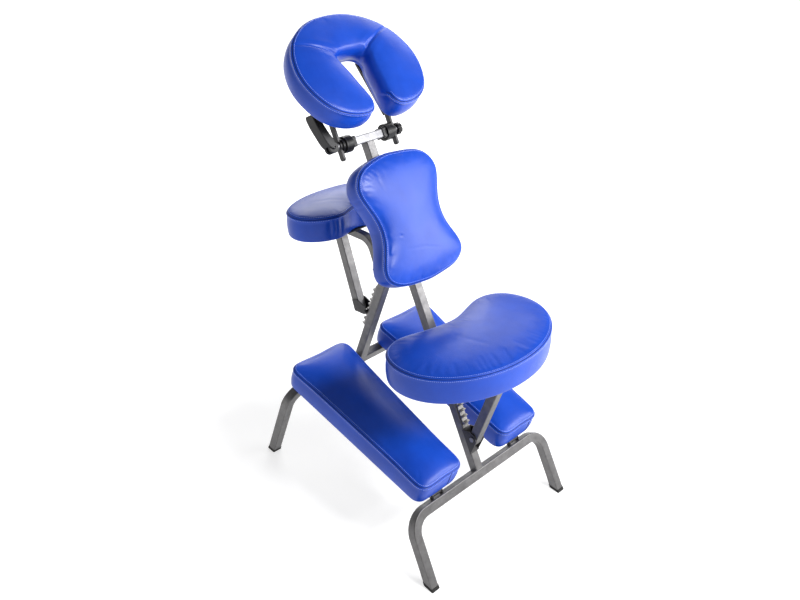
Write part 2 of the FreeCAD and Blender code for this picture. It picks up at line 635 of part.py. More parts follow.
# ---------------------------------------------------------------- head stem, cross bar and knuckles
BAR_HIGH = 21.0
BAR_REACH = 57.0
STEM_FOOT = MAST_TOP + 0.3
STEM_TOP = HEAD_BAR - BAR_HIGH / 2
spigot = straight_tube(SPIGOT, 640.0, STEM_FOOT + 30, 1.0)
spigot_weld = straight_tube(TUBE - WALL, STEM_FOOT + 2, STEM_FOOT + 10, 1.5)
put("head_stem_tube", fuse([straight_tube(TUBE, STEM_FOOT, STEM_TOP), spigot, spigot_weld]), MAST)
outer_bar = block(-BAR_REACH, BAR_REACH, HEAD_BAR - BAR_HIGH / 2, HEAD_BAR + BAR_HIGH / 2, -TUBE / 2, TUBE / 2)
outer_bar = outer_bar.makeFillet(EDGE, [e for e in outer_bar.Edges if e.BoundBox.XLength > 10])
inner_bar = block(-BAR_REACH, BAR_REACH, HEAD_BAR - BAR_HIGH / 2 + WALL, HEAD_BAR + BAR_HIGH / 2 - WALL,
                  -TUBE / 2 + WALL, TUBE / 2 - WALL)
put("head_cross_bar", outer_bar.cut(inner_bar), MAST)

ROD_R = 4.0
ROD_BORE = rod(ROD_R + RUNNING, -150, 150, HEAD_BAR)
FIXED_FACE = BAR_REACH + 14.0
TURN_FACE = FIXED_FACE + 0.3
ARM_INNER = TURN_FACE + 14.7
ARM_OUTER = ARM_INNER + 6.0


def both_sides(make):
    return [make(-1), make(1)]


def spanning(side, near, far):
    return sorted((side * near, side * far))


def fixed_knuckle(side):
    """Barrel on the end of the cross bar, with a collar gripping the bar."""
    x0, x1 = spanning(side, BAR_REACH, FIXED_FACE)
    c0, c1 = spanning(side, BAR_REACH - 12, BAR_REACH)
    collar = block(c0, c1, HEAD_BAR - BAR_HIGH / 2 - 3, HEAD_BAR + BAR_HIGH / 2 + 3, -TUBE / 2 - 3, TUBE / 2 + 3)
    collar = collar.makeFillet(4.0, [e for e in collar.Edges if e.BoundBox.XLength > 5])
    shape = fuse([rod(KNUCKLE_R, x0, x1, HEAD_BAR), collar])
    return shape.cut(outer_bar).cut(ROD_BORE)


def turning_knuckle(side):
    x0, x1 = spanning(side, TURN_FACE, TURN_FACE + 7)
    y0, y1 = spanning(side, TURN_FACE + 7, ARM_INNER)
    return fuse([rod(KNUCKLE_R - 0.5, x0, x1, HEAD_BAR), rod(16.5, y0, y1, HEAD_BAR)]).cut(ROD_BORE)


put("fixed_knuckles", both_sides(fixed_knuckle), MAST)
put("turning_knuckles", both_sides(turning_knuckle), MAST)

LEVER_X = ARM_OUTER + 20.0
put("clamp_rod", fuse([rod(ROD_R, -LEVER_X - 4, LEVER_X, HEAD_BAR),
                       rod(9.0, -ARM_OUTER - 6, -ARM_OUTER - 0.3, HEAD_BAR),
                       rod(9.0, ARM_OUTER + 0.3, ARM_OUTER + 6, HEAD_BAR)]).cut(
    Part.makeCylinder(2.5, 40, V(-LEVER_X, HEAD_BAR, -20))), MAST)
put("cam_pin", Part.makeCylinder(2.5, 23, V(-LEVER_X, HEAD_BAR, -11.5)), MAST)

clamp_knob = lobed_knob(15.0, 14.0, 6)
clamp_knob = clamp_knob.makeFillet(2.0, [e for e in clamp_knob.Edges if e.BoundBox.ZLength < 0.01])
clamp_knob.rotate(V(0, 0, 0), V(0, 1, 0), 90)
clamp_knob.translate(V(ARM_OUTER + 6.3, HEAD_BAR, 0))
put("clamp_knob", clamp_knob.cut(ROD_BORE), MAST)


# ---------------------------------------------------------------- cam lever, on the left
LEVER_OUTLINE = [(-3, -4), (-14, 6), (-22, 26), (-29, 50), (-34, 75), (-32, 86), (-25, 87),
                 (-17, 77), (-9, 54), (0, 28), (5, 8)]
CAM_WIDTH = 23.0
PADDLE_WIDTH = 31.0


def cam_lever():
    """Curved paddle that swings outward on the cam pin; its round cam straddles the clamp rod."""
    cam = Part.makeCylinder(13.0, CAM_WIDTH, V(0, 0, -CAM_WIDTH / 2))
    curve = Part.BSplineCurve()
    curve.interpolate([V(*point, -PADDLE_WIDTH / 2) for point in LEVER_OUTLINE], PeriodicFlag=True)
    paddle = Part.Face(Part.Wire(curve.toShape())).extrude(V(0, 0, PADDLE_WIDTH))
    paddle = paddle.makeFillet(2.0, [e for e in paddle.Edges if e.BoundBox.ZLength < 0.01])
    lever = fuse([cam, paddle])
    slot = Part.makeBox(30, 34, 2 * ROD_R + 1.0, V(-13.2, -17, -ROD_R - 0.5))
    lever = lever.cut(slot).cut(Part.makeCylinder(2.5 + RUNNING, 40, V(0, 0, -20)))
    lever.translate(V(-LEVER_X, HEAD_BAR, 0))
    return lever


put("cam_lever", cam_lever(), MAST)

# ---------------------------------------------------------------- face cradle
bar_v, bar_n = frame_coordinates(HEAD, HEAD_BAR_YZ)
head_cushion, head_board = smooth_pad(HEAD_OUTLINE, -HEAD_THICK, 0.0, 10.0)
underside = -HEAD_THICK
ARM_HALF = 7.5           # half the width of a cradle arm
TAIL = 30.0              # its tail below the clamp rod
LIP_X = 50.0
STRIP = math.radians(MAST_LEAN - HEAD_TILT)


def beside_arm(along, off):
    """Head-frame (v, n) of a point along the arm from the clamp rod, and off its middle line."""
    return (bar_v + along * math.cos(STRIP) - off * math.sin(STRIP),
            bar_n + along * math.sin(STRIP) + off * math.cos(STRIP))


def reaching(off, level):
    """The arm's edge that far off its middle line, where it reaches that level."""
    return beside_arm((level - bar_n - off * math.cos(STRIP)) / math.sin(STRIP), off)


def cradle_arm(side):
    """Slim arm from the knuckle up to a flange under the board, with a tapered lip at the face hole."""
    x0, x1 = spanning(side, ARM_INNER, ARM_OUTER)
    f0, f1 = spanning(side, LIP_X, ARM_OUTER)
    l0, l1 = spanning(side, LIP_X, LIP_X + PLATE)
    strip = side_plate([beside_arm(-TAIL, ARM_HALF), reaching(ARM_HALF, underside), reaching(-ARM_HALF, underside),
                        beside_arm(-TAIL, -ARM_HALF)], x0, x1)
    tail = rod(ARM_HALF, x0, x1, *beside_arm(-TAIL, 0.0))
    eye = rod(12.5, x0, x1, bar_v, bar_n)
    flange = block(f0, f1, -84, 62, underside - PLATE, underside)
    lip = side_plate([(-84, underside), (62, underside), (62, underside - 5), (-84, underside - 22)], l0, l1)
    return fuse([strip, tail, eye, flange, lip]).cut(rod(ROD_R + RUNNING, -150, 150, bar_v, bar_n))


head_screws = screws([(side * (ARM_INNER - 11), y) for side in (-1, 1) for y in (-70, 36)],
                     underside - PLATE, 1, 11.0)
put("face_cushion", head_cushion, HEAD)
put("face_board", drilled(head_board, head_screws), HEAD)
put("cradle_arms", [drilled(arm, head_screws) for arm in both_sides(cradle_arm)], HEAD)
put("face_screws", head_screws, HEAD)

# ---------------------------------------------------------------- export
os.makedirs("parts", exist_ok=True)
lows = []
highs = []
for name, shape in nodes.items():
    shape.exportStep("parts/" + name + ".step")
    if not shape.isValid() or not shape.Solids or min(s.Volume for s in shape.Solids) <= 0:
        print("BAD", name, shape.isValid(), [round(s.Volume) for s in shape.Solids])
    box = shape.optimalBoundingBox()
    lows.append((box.XMin, box.YMin, box.ZMin))
    highs.append((box.XMax, box.YMax, box.ZMax))
low = [min(values) for values in zip(*lows)]
high = [max(values) for values in zip(*highs)]
print(len(nodes), "nodes; box from", [round(v, 2) for v in low], "to", [round(v, 2) for v in high])
print("middle in Y", round((low[1] + high[1]) / 2, 3))
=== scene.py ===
import json
import math

import bpy
import numpy as np
from mathutils import Matrix, Vector
from mathutils.bvhtree import BVHTree
from mathutils.geometry import delaunay_2d_cdt


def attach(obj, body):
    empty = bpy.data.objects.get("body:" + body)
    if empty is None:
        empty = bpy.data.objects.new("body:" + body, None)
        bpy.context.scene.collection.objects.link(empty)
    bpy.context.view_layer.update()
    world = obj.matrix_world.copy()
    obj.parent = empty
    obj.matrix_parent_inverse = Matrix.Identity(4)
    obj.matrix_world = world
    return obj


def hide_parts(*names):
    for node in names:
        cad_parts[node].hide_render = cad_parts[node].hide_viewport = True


# Kneeling massage chair. Metres, +Z up, +Y the way the sitter faces, +X the sitter's right.

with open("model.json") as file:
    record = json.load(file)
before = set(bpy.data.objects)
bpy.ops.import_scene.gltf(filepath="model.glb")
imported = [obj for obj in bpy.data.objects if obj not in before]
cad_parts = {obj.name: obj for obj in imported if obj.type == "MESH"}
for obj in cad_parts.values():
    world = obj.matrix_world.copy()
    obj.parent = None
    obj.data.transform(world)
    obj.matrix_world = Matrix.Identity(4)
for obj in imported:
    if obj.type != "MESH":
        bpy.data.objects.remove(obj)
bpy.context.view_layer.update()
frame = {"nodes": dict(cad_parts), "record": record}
nodes = frame["nodes"]


# ---------------------------------------------------------------- camera
def photo_camera():
    """Camera at the photograph's viewing angle, given by its place, heading, drop and roll."""
    eye = Vector((-1.3849, -1.1972, 1.7607))
    heading = math.radians(-48.147)
    drop = math.radians(34.029)
    roll = math.radians(6.469)
    back = Vector((math.sin(heading) * math.cos(drop),
                   -math.cos(heading) * math.cos(drop),
                   math.sin(drop)))
    right = (-back).cross(Vector((0, 0, 1))).normalized()
    up = right.cross(-back)
    turned_right = math.cos(roll) * right + math.sin(roll) * up
    turned_up = -math.sin(roll) * right + math.cos(roll) * up
    data = bpy.data.cameras.new("camera")
    data.lens = 39.0
    data.sensor_width = 36.0
    data.clip_start = 0.05
    camera = bpy.data.objects.new("camera", data)
    columns = Matrix((turned_right, turned_up, back)).transposed()
    camera.matrix_world = Matrix.Translation(eye) @ columns.to_4x4()
    bpy.context.scene.collection.objects.link(camera)
    bpy.context.scene.camera = camera


photo_camera()


# ---------------------------------------------------------------- materials
def new_material(name, color, roughness, metallic=0.0):
    """A plain material, with the node tree and the shader that the calling function builds on."""
    material = bpy.data.materials.new(name)
    material.use_nodes = True
    shader = material.node_tree.nodes["Principled BSDF"]
    shader.inputs["Base Color"].default_value = (*color, 1)
    shader.inputs["Roughness"].default_value = roughness
    shader.inputs["Metallic"].default_value = metallic
    return material, material.node_tree, shader


def add(tree, kind, **inputs):
    """A new shader node with the named inputs set."""
    node = tree.nodes.new(kind)
    for key, value in inputs.items():
        node.inputs[key.replace("_", " ")].default_value = value
    return node


def place_texture(tree):
    """The place on the object, in its own axes, that textures are laid by."""
    return tree.nodes.new("ShaderNodeTexCoord").outputs["Object"]


def noise(tree, where, scale, detail=2.0, roughness=0.5):
    """Soft noise from 0 to 1."""
    node = add(tree, "ShaderNodeTexNoise", Scale=scale, Detail=detail, Roughness=roughness)
    tree.links.new(where, node.inputs["Vector"])
    return node.outputs["Fac"]


def ramp(tree, source, stops):
    """Turns a value into a colour. Each stop is (value, colour)."""
    node = tree.nodes.new("ShaderNodeValToRGB")
    while len(node.color_ramp.elements) < len(stops):
        node.color_ramp.elements.new(0.5)
    for element, (position, color) in zip(node.color_ramp.elements, stops):
        element.position = position
        element.color = (*color, 1)
    tree.links.new(source, node.inputs["Fac"])
    return node.outputs["Color"]


def span(tree, source, low, high, start, end):
    """Maps the range start to end of a value onto low to high."""
    node = add(tree, "ShaderNodeMapRange", From_Min=start, From_Max=end, To_Min=low, To_Max=high)
    tree.links.new(source, node.inputs["Value"])
    return node.outputs["Result"]


def bump(tree, shader, layers):
    """Stacks bump layers: (height output, strength, depth in metres)."""
    previous = None
    for height, strength, depth in layers:
        node = add(tree, "ShaderNodeBump", Strength=strength, Distance=depth)
        tree.links.new(height, node.inputs["Height"])
        if previous:
            tree.links.new(previous, node.inputs["Normal"])
        previous = node.outputs["Normal"]
    tree.links.new(previous, shader.inputs["Normal"])


def shade(color, factor):
    """The colour made darker or lighter by that factor."""
    return tuple(c * factor for c in color)


def blue_vinyl():
    """Half-gloss vinyl with a fine leather grain and a soft mottle of colour and shine."""
    material, tree, shader = new_material("blue_vinyl", (0.004, 0.058, 0.47), 0.34)
    where = place_texture(tree)
    mottle = noise(tree, where, 9.0, 4.0, 0.6)
    color = ramp(tree, mottle, [(0.30, (0.003, 0.047, 0.40)), (0.55, (0.004, 0.058, 0.47)),
                                (0.75, (0.006, 0.068, 0.53))])
    tree.links.new(color, shader.inputs["Base Color"])
    rough = span(tree, noise(tree, where, 14.0, 5.0, 0.65), 0.29, 0.40, 0.3, 0.7)
    tree.links.new(rough, shader.inputs["Roughness"])
    grain = add(tree, "ShaderNodeTexVoronoi", Scale=620.0)
    tree.links.new(where, grain.inputs["Vector"])
    pores = noise(tree, where, 1500.0, 2.0)
    bump(tree, shader, [(noise(tree, where, 26.0, 3.0, 0.55), 0.12, 0.003),
                        (grain.outputs["Distance"], 0.10, 0.0006),
                        (pores, 0.08, 0.0003)])
    shader.inputs["Specular IOR Level"].default_value = 0.35
    return material


def frame_paint(name, color, roughness, metallic, grain=0.10):
    """Sprayed paint or bare steel, streaked in tone and slightly uneven in shine."""
    material, tree, shader = new_material(name, color, roughness, metallic)
    where = place_texture(tree)
    streak = noise(tree, where, 60.0, 5.0, 0.7)
    tones = ramp(tree, streak, [(0.30, shade(color, 0.80)), (0.70, shade(color, 1.18))])
    tree.links.new(tones, shader.inputs["Base Color"])
    rough = span(tree, noise(tree, where, 35.0, 4.0, 0.6), roughness - 0.07, roughness + 0.10, 0.3, 0.7)
    tree.links.new(rough, shader.inputs["Roughness"])
    bump(tree, shader, [(noise(tree, where, 900.0, 2.0), grain, 0.0004),
                        (noise(tree, where, 120.0, 2.0), grain * 0.8, 0.0008)])
    return material


def black_plastic(name, color, roughness, grain):
    """Moulded black plastic or rubber. The grain is the scale of its fine texture."""
    material, tree, shader = new_material(name, color, roughness)
    where = place_texture(tree)
    patches = noise(tree, where, 80.0, 3.0)
    tones = ramp(tree, patches, [(0.3, shade(color, 0.75)), (0.7, shade(color, 1.5))])
    tree.links.new(tones, shader.inputs["Base Color"])
    rough = span(tree, noise(tree, where, 50.0, 3.0), roughness - 0.08, roughness + 0.10, 0.3, 0.7)
    tree.links.new(rough, shader.inputs["Roughness"])
    bump(tree, shader, [(noise(tree, where, grain, 2.0), 0.15, 0.0003)])
    shader.inputs["Specular IOR Level"].default_value = 0.28
    return material


def plywood():
    """Dark stained board with its grain drawn out along Y."""
    material, tree, shader = new_material("board", (0.05, 0.04, 0.035), 0.7)
    where = place_texture(tree)
    stretch = add(tree, "ShaderNodeMapping", Scale=(40.0, 4.0, 40.0))
    tree.links.new(where, stretch.inputs["Vector"])
    lines = noise(tree, stretch.outputs["Vector"], 5.0, 4.0, 0.6)
    color = ramp(tree, lines, [(0.35, (0.028, 0.022, 0.020)), (0.65, (0.075, 0.062, 0.052))])
    tree.links.new(color, shader.inputs["Base Color"])
    bump(tree, shader, [(lines, 0.2, 0.0006)])
    return material


def thread(name, dark, light):
    """Thread with a fine speckle from dark to light."""
    material, tree, shader = new_material(name, light, 0.55)
    where = place_texture(tree)
    twist = noise(tree, where, 1200.0, 1.0)
    tree.links.new(ramp(tree, twist, [(0.35, dark), (0.65, light)]), shader.inputs["Base Color"])
    bump(tree, shader, [(twist, 0.4, 0.0003)])
    return material


VINYL = blue_vinyl()
THREAD = thread("thread", (0.18, 0.28, 0.82), (0.32, 0.44, 0.98))
# Near-black blue for the thin cords laid in the seam grooves and wall joins: painted shadow lines.
PAINTED_SHADOW_CORD = thread("seam_shadow", (0.002, 0.008, 0.07), (0.004, 0.014, 0.12))
FINISHES = {
    "blue_vinyl": VINYL,
    "board": plywood(),
    "frame_paint": frame_paint("frame_paint", (0.145, 0.142, 0.143), 0.38, 0.60),
    "bracket_paint": frame_paint("bracket_paint", (0.045, 0.044, 0.046), 0.42, 0.6),
    "rack_steel": frame_paint("rack_steel", (0.22, 0.215, 0.21), 0.40, 0.75),
    "bright_steel": frame_paint("bright_steel", (0.24, 0.24, 0.25), 0.42, 0.8, 0.03),
    "black_rubber": black_plastic("black_rubber", (0.012, 0.012, 0.012), 0.62, 500.0),
    "black_plastic": black_plastic("black_plastic", (0.010, 0.010, 0.011), 0.36, 900.0),
}


def set_material(piece, material):
    """Gives the piece that one material."""
    piece.data.materials.clear()
    piece.data.materials.append(material)


for part in frame["record"]["subparts"]:
    set_material(nodes[part["node"]], FINISHES[part["material_slot"]])
set_material(nodes["head_cross_bar"], FINISHES["bright_steel"])


# ---------------------------------------------------------------- the flat face of a CAD pad
# The least cosine between a face and the way it should look, and how far off its plane a point may be.
FACING_LIMIT = 0.5
FLAT_TOLERANCE = 5e-5


def positions(mesh):
    """The vertices' places as an array."""
    return np.array([v.co for v in mesh.vertices], float)


def set_positions(mesh, places):
    """Moves the vertices to those places."""
    mesh.vertices.foreach_set("co", places.astype(np.float32).ravel())
    mesh.update()


def triangles(node):
    """The points of a CAD node's mesh and the corners of its triangles."""
    mesh = nodes[node].data
    mesh.calc_loop_triangles()
    return positions(mesh), np.array([t.vertices for t in mesh.loop_triangles], int)


def rim_points(points, corners):
    """The points round the edge of a patch of triangles, in order."""
    spots = {}
    ids = [spots.setdefault(tuple(np.round(p, 6)), len(spots)) for p in points]
    places = np.array(list(spots.keys()))
    edges = {}
    for corner in corners:
        loop = [ids[v] for v in corner]
        for j in range(3):
            edge = (loop[j], loop[(j + 1) % 3])
            if (edge[1], edge[0]) in edges:
                del edges[(edge[1], edge[0])]
            else:
                edges[edge] = True
    following = dict(edges.keys())
    start = next(iter(following))
    chain = [start]
    while following[chain[-1]] != start:
        chain.append(following[chain[-1]])
    return places[chain]


def pad_face(node, facing):
    """The pad's large flat face looking that way: (centre, axes, outline, thickness).
    axes has the columns across, along and normal. The outline is in across and along, anticlockwise."""
    points, corners = triangles(node)
    a, b, c = (points[corners[:, i]] for i in range(3))
    cross = np.cross(b - a, c - a)
    area = np.linalg.norm(cross, axis=1) / 2
    normal = cross / np.maximum(2 * area[:, None], 1e-12)
    groups = {}
    for i, n in enumerate(normal):
        if n @ np.array(facing) > FACING_LIMIT:
            groups.setdefault(tuple(np.round(n, 3)), []).append(i)
    best = max(groups.values(), key=lambda group: area[group].sum())
    up = cross[best].sum(axis=0)
    up[0] = 0.0
    up /= np.linalg.norm(up)
    level = np.median(points[corners[best].ravel()] @ up)
    flat = np.flatnonzero(np.all(np.abs(points[corners] @ up - level) < FLAT_TOLERANCE, axis=1))
    across = np.array((1.0, 0.0, 0.0))
    along = np.cross(up, across)
    axes = np.stack((across, along, up), axis=1)
    local = rim_points(points, corners[flat]) @ axes
    middle = (local[:, :2].min(axis=0) + local[:, :2].max(axis=0)) / 2
    centre = axes @ np.array((middle[0], middle[1], level))
    outline = local[:, :2] - middle
    x, y = outline[:, 0], outline[:, 1]
    if (x * np.roll(y, -1) - y * np.roll(x, -1)).sum() < 0:
        outline = outline[::-1]
    thickness = level - (points @ up).min()
    return centre, axes, outline, thickness


# ---------------------------------------------------------------- loops of points
# The distance between neighbouring points of a cushion's outline.
SPACING = 0.0048


def walk(loop):
    """The loop with its first point repeated at the end, and the distance walked to each of its points."""
    closed = np.vstack((loop, loop[:1]))
    lengths = np.linalg.norm(np.diff(closed, axis=0), axis=1)
    return closed, np.concatenate(([0.0], np.cumsum(lengths)))


def points_at(places, closed, walked):
    """The points at those distances along a walked loop."""
    return np.stack([np.interp(places, walked, values) for values in closed.T], axis=-1)


def soften(values, rounds):
    """Draws each value towards its two neighbours round the loop, that many times."""
    for _ in range(rounds):
        values = 0.5 * values + 0.25 * (np.roll(values, 1, axis=0) + np.roll(values, -1, axis=0))
    return values


def even_loop(outline):
    """The outline as evenly spaced points, slightly rounded."""
    closed, walked = walk(outline)
    count = int(round(walked[-1] / SPACING))
    places = np.linspace(0, walked[-1], count, endpoint=False)
    return soften(points_at(places, closed, walked), 4)


def nearest_point(loop, place):
    """The index of the loop's point nearest to that place."""
    return int(np.argmin(np.linalg.norm(loop - np.array(place), axis=1)))


def inward(loop):
    """Unit vectors into the loop at each point, in its plane."""
    tangent = np.roll(loop, -1, axis=0) - np.roll(loop, 1, axis=0)
    tangent /= np.linalg.norm(tangent, axis=1)[:, None]
    return np.stack((-tangent[:, 1], tangent[:, 0]), axis=1)


def turning(loop, reach):
    """How sharply the loop turns within that many points either way, in radians."""
    ahead = np.roll(loop, -reach, axis=0) - loop
    behind = loop - np.roll(loop, reach, axis=0)
    cross = behind[:, 0] * ahead[:, 1] - behind[:, 1] * ahead[:, 0]
    return np.arctan2(cross, (behind * ahead).sum(axis=1))


def tight_corners(loop):
    """1 where every ring has room inside the loop, less at corners too tight for the deepest ring."""
    reach = 3
    usable_share = 0.65
    deepest_inset = 0.0155
    bend = turning(loop, reach) / (reach * SPACING)
    room = usable_share / np.maximum(bend, 1.0)
    share = np.clip(room / deepest_inset, 0, 1)
    for _ in range(reach):
        share = np.minimum(share, np.minimum(np.roll(share, 1), np.roll(share, -1)))
    return soften(share, 4)


def inside(points, loop):
    """Whether each point lies inside the loop, by counting the edges that a ray from it crosses."""
    x, y = points[:, :1], points[:, 1:]
    x0, y0 = loop[:, 0], loop[:, 1]
    x1, y1 = np.roll(x0, -1), np.roll(y0, -1)
    crosses = (y0 > y) != (y1 > y)
    slope = (x1 - x0) / np.where(np.abs(y1 - y0) < 1e-12, 1e-12, y1 - y0)
    return (crosses & (x < x0 + (y - y0) * slope)).sum(axis=1) % 2 == 1


# ---------------------------------------------------------------- one cushion
# Cross-section rings, from the recess round the board up the side wall to the top panel. Each is
# (inset, height) in millimetres. Heights in UNDER are measured from the underside, and the others from
# the plane of the seam.
UNDER = [(12.0, 5.0), (9.0, 4.4), (8.0, 1.2), (6.6, 0.1), (4.0, 0.1), (1.7, 1.2), (0.4, 3.6)]
SEAMED = [(-0.5, -11.0), (-1.3, -7.8), (-1.7, -5.4), (-1.5, -3.5), (-0.6, -2.2), (1.5, -2.0), (1.9, -0.9),
          (1.3, 0.4), (2.6, 1.8), (4.6, 2.6), (6.6, 3.3), (8.8, 4.1)]
# Rings between UNDER and SEAMED, and the ring in the seam's groove.
WALL_STEPS = 6
SEAM_RING = len(UNDER) + WALL_STEPS + 5
# The top panel's grid: its step, the gap it leaves at the rim and how far in the rim's height is felt.
GRID_STEP = SPACING * 1.08
RIM_GAP = SPACING * 0.62
RIM_BLEND = 0.02
DOME_ROUNDS = 2600


def rolled_ring(share, thickness):
    """(inset, height) of a ring of an edge that rolls over in one bolster curve, from under to top."""
    angle = math.radians(-50.0 + 115.0 * share)
    middle = 13.5
    half_width = 20.5
    crest = 5.5
    half_height = thickness * 500 + 1.0
    return middle - half_width * math.cos(angle), crest - half_height + half_height * math.sin(angle)


def side_rings(count, thickness, bulge, rolled):
    """(insets, heights) in millimetres of every ring, from the recess up to the rim of the top panel."""
    rings = []
    for inset, height in UNDER:
        rings.append((np.full(count, inset), np.full(count, height - thickness * 1000)))
    wall = []
    foot_inset, foot_height = UNDER[-1]
    head_inset, head_height = SEAMED[0]
    foot_height = foot_height - thickness * 1000
    for step in range(1, WALL_STEPS + 1):
        share = step / (WALL_STEPS + 1)
        belly = -bulge * math.sin(math.pi * share)
        inset = foot_inset - (foot_inset - head_inset) * share + belly
        wall.append((inset, foot_height + (head_height - foot_height) * share))
    profile = wall + SEAMED
    for index, (inset, height) in enumerate(profile):
        inset_r, height_r = rolled_ring(index / (len(profile) - 1), thickness)
        rings.append((inset + (inset_r - inset) * rolled, height + (height_r - height) * rolled))
    return rings


def side_verts(loop, rings, thickness, pull):
    """The rings' vertices, one array for each ring."""
    inner = inward(loop)
    squeeze = tight_corners(loop)
    verts = []
    for inset, height in rings:
        depth = np.clip((height + thickness * 1000) / (thickness * 1000), 0, 1)
        inset = np.where(inset > 0, inset * squeeze, inset)
        flat = loop + inner * ((inset + pull * depth) / 1000)[:, None]
        verts.append(np.column_stack((flat, height / 1000)))
    return verts


def distances(points, others):
    """The distance of every point from every one of the others."""
    return np.linalg.norm(points[:, None, :] - others[None, :, :], axis=2)


def top_grid(rim):
    """Points that fill the rim in a triangular grid, and how far each is from the nearest rim point."""
    low = rim.min(axis=0)
    high = rim.max(axis=0)
    row_step = GRID_STEP * math.sqrt(3) / 2
    rows = int((high[1] - low[1]) / row_step) + 1
    columns = int((high[0] - low[0]) / GRID_STEP) + 2
    grid = np.array([(low[0] + (c + 0.5 * (r % 2)) * GRID_STEP, low[1] + r * row_step)
                     for r in range(rows) for c in range(columns)])
    grid = grid[inside(grid, rim)]
    gap = distances(grid, rim).min(axis=1)
    return grid[gap > RIM_GAP], gap[gap > RIM_GAP]


def fill_loop(points, count):
    """Triangles over the points, within the loop that the first of them make."""
    edges = [(i, (i + 1) % count) for i in range(count)]
    _, _, faces, sources, _, _ = delaunay_2d_cdt([Vector(p) for p in points], edges, [], 1, 1e-7)
    first = [source[0] for source in sources]
    return [tuple(first[v] for v in face) for face in faces]


def cushion_mesh(loop, thickness, crown, bulge, pull, rolled, steep):
    """A cushion in its own axes before it is inflated: vertices, faces, points per ring and rings."""
    count = len(loop)
    rings = side_rings(count, thickness, bulge, rolled)
    verts = side_verts(loop, rings, thickness, pull)
    shell = np.vstack(verts)
    faces = []
    for ring in range(len(rings) - 1):
        base = ring * count
        for i in range(count):
            j = (i + 1) % count
            faces.append((base + i, base + j, base + count + j, base + count + i))
    rim = verts[-1][:, :2]
    rim_height = verts[-1][:, 2]
    grid, gap = top_grid(rim)
    top = np.vstack((rim, grid))
    top_triangles = fill_loop(top, count)
    rise = dome(len(top), count, top_triangles) ** steep
    grid_height = crown / 1000 * rise[count:] + rim_height.mean()
    nearest = np.argmin(distances(grid, rim), axis=1)
    grid_height += (rim_height[nearest] - rim_height.mean()) * np.exp(-gap / RIM_BLEND)
    top_start = len(shell) - count
    faces += [tuple(top_start + v for v in face) for face in top_triangles]
    faces += [tuple(reversed(face)) for face in fill_loop(verts[0][:, :2], count)]
    return np.vstack((shell, np.column_stack((grid, grid_height)))), faces, count, len(rings)


def dome(total, fixed, faces):
    """Height from 0 to 1 of a membrane blown up over the faces, with the first vertices held at 0."""
    pairs = set()
    for face in faces:
        for a, b in zip(face, face[1:] + face[:1]):
            pairs.add((min(a, b), max(a, b)))
    one, other = np.array(sorted(pairs)).T
    degree = np.bincount(np.concatenate((one, other)), minlength=total).astype(float)
    height = np.zeros(total)
    for _ in range(DOME_ROUNDS):
        summed = np.bincount(one, height[other], total) + np.bincount(other, height[one], total)
        height = (summed + 1.0) / np.maximum(degree, 1)
        height[:fixed] = 0
    return height / height.max()


def make_object(name, verts, faces, material):
    """A smooth-shaded object from its vertices and faces."""
    mesh = bpy.data.meshes.new(name)
    mesh.from_pydata([tuple(v) for v in verts], [], faces)
    mesh.update()
    mesh.validate()
    piece = bpy.data.objects.new(name, mesh)
    bpy.context.scene.collection.objects.link(piece)
    set_material(piece, material)
    for polygon in mesh.polygons:
        polygon.use_smooth = True
    return piece


PRESSURE = 4.0
CLOTH_FRAMES = 20


def inflate(piece, held, cap):
    """Blows the piece up by cloth simulation, with the held vertices pinned and each move softly capped."""
    start = positions(piece.data)
    group = piece.vertex_groups.new(name="held")
    for index, weight in enumerate(held):
        if weight > 0:
            group.add([index], float(weight), "REPLACE")
    cloth = piece.modifiers.new("cloth", "CLOTH")
    settings = cloth.settings
    settings.quality = 5
    settings.mass = 0.25
    settings.tension_stiffness = 18.0
    settings.compression_stiffness = 14.0
    settings.shear_stiffness = 6.0
    settings.bending_stiffness = 1.2
    settings.tension_damping = 12.0
    settings.compression_damping = 12.0
    settings.shear_damping = 12.0
    settings.use_pressure = True
    settings.uniform_pressure_force = PRESSURE
    settings.vertex_group_mass = "held"
    settings.effector_weights.gravity = 0.0
    cloth.collision_settings.use_collision = False
    cloth.collision_settings.use_self_collision = False
    scene = bpy.context.scene
    cloth.point_cache.frame_start = 1
    cloth.point_cache.frame_end = CLOTH_FRAMES
    for number in range(1, CLOTH_FRAMES + 1):
        scene.frame_set(number)
    graph = bpy.context.evaluated_depsgraph_get()
    moved = positions(piece.evaluated_get(graph).data)
    piece.modifiers.remove(cloth)
    piece.vertex_groups.clear()
    scene.frame_set(1)
    shift = moved - start
    size = np.maximum(np.linalg.norm(shift, axis=1), 1e-9)
    shift *= (cap * np.tanh(size / cap) / size)[:, None]
    set_positions(piece.data, start + shift)


def apply_subdivision(piece):
    """Replaces the piece's mesh by its smooth mesh, one level of subdivision finer."""
    modifier = piece.modifiers.new("smooth", "SUBSURF")
    modifier.levels = 1
    modifier.render_levels = 1
    graph = bpy.context.evaluated_depsgraph_get()
    mesh = bpy.data.meshes.new_from_object(piece.evaluated_get(graph))
    piece.modifiers.clear()
    old = piece.data
    piece.data = mesh
    bpy.data.meshes.remove(old)
    for polygon in mesh.polygons:
        polygon.use_smooth = True


def nearest_on_path(spots, path):
    """How far each spot is from the path, and the share of the path at its nearest point."""
    best = np.full(len(spots), np.inf)
    along = np.zeros(len(spots))
    steps = len(path) - 1
    for i in range(steps):
        stretch = path[i + 1] - path[i]
        share = np.clip(((spots - path[i]) @ stretch) / (stretch @ stretch), 0, 1)
        gap = np.linalg.norm(spots - (path[i] + share[:, None] * stretch), axis=1)
        closer = gap < best
        best[closer] = gap[closer]
        along[closer] = (i + share[closer]) / steps
    return best, along


# How high the vinyl swells beside a crease, as a share of the crease's depth.
SHOULDER_SHARE = 0.25


